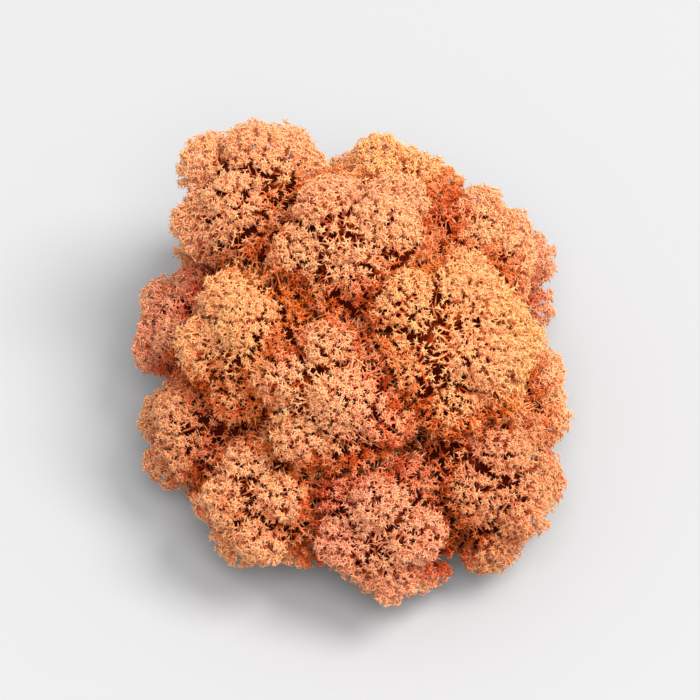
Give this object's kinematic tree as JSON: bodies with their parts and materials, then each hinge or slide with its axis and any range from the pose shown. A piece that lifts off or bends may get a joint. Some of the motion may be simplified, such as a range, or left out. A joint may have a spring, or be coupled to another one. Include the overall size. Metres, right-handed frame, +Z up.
{
  "type": "reindeer moss clump",
  "caption": "Loose clump of dyed reindeer lichen: branching stalks side by side, each ending in a rounded, cauliflower-like head of tiny star-shaped tips.",
  "frame": {"origin": "middle of the clump's outline seen from above, on the surface that it rests on", "axes": "+Z up, +Y along the clump's long side towards its high back, +X across it to the right"},
  "size_m": [0.0644, 0.0786, 0.0447],
  "materials": {
    "coral": "matte, dyed plant tissue",
    "orange_coral": "matte, dyed plant tissue",
    "pink_coral": "matte, dyed plant tissue",
    "brown_coral": "matte, dyed plant tissue"
  },
  "bodies": {
    "root": {"podetium_crown": "coral", "podetium_upper_back_left": "coral", "podetium_upper_back": "orange_coral", "podetium_upper_right_back": "coral", "podetium_upper_right": "orange_coral", "podetium_upper_front": "coral", "podetium_upper_left": "orange_coral", "podetium_lower_left_back": "pink_coral", "podetium_lower_left_front": "brown_coral", "podetium_lower_front_left": "coral", "podetium_lower_front": "pink_coral", "podetium_lower_right_front": "brown_coral", "podetium_lower_right": "coral", "podetium_lower_right_back": "pink_coral", "podetium_lower_back": "brown_coral", "podetium_lower_left_back_end": "coral"}
  },
  "joints": []
}
